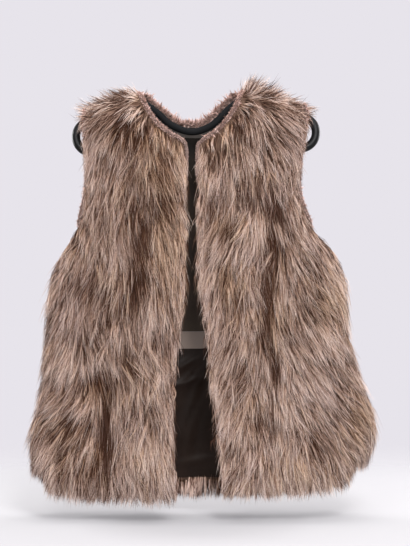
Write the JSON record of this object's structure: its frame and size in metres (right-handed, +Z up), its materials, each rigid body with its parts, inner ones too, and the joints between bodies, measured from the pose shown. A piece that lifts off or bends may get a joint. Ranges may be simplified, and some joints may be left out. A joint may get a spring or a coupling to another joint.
{
  "type": "fur vest on a hanger",
  "caption": "Sleeveless open-front vest of long-haired taupe fur with a dark satin back lining, hanging on a black ring-ended hanger.",
  "frame": {"origin": "the middle of the hanger's bar, where it dips under the back neck", "axes": "+Z up, +X to the right as seen from the front, the vest's front towards -Y"},
  "size_m": [0.5626, 0.1628, 0.6848],
  "materials": {
    "fur": "long taupe-brown hair with paler tips, combed down",
    "sheared_edge": "short pinkish-brown pile on the turned edges",
    "upper_lining": "matt dark lining cloth",
    "satin_lining": "dark brown satin",
    "ribbon": "light brown satin ribbon",
    "neck_facing": "black cloth with a soft sheen",
    "hanger_plastic": "gloss black"
  },
  "bodies": {
    "root": {"front_left": "fur", "front_right": "fur", "back": "fur", "neck_roll_left": "sheared_edge", "neck_roll_right": "sheared_edge", "neck_roll_back": "sheared_edge", "armhole_roll_front_left": "sheared_edge", "armhole_roll_front_right": "sheared_edge", "armhole_roll_back_left": "sheared_edge", "armhole_roll_back_right": "sheared_edge", "back_lining_upper": "upper_lining", "back_lining_lower": "satin_lining", "waist_tape": "ribbon", "neck_facing": "neck_facing", "hanger": "hanger_plastic"}
  },
  "joints": []
}
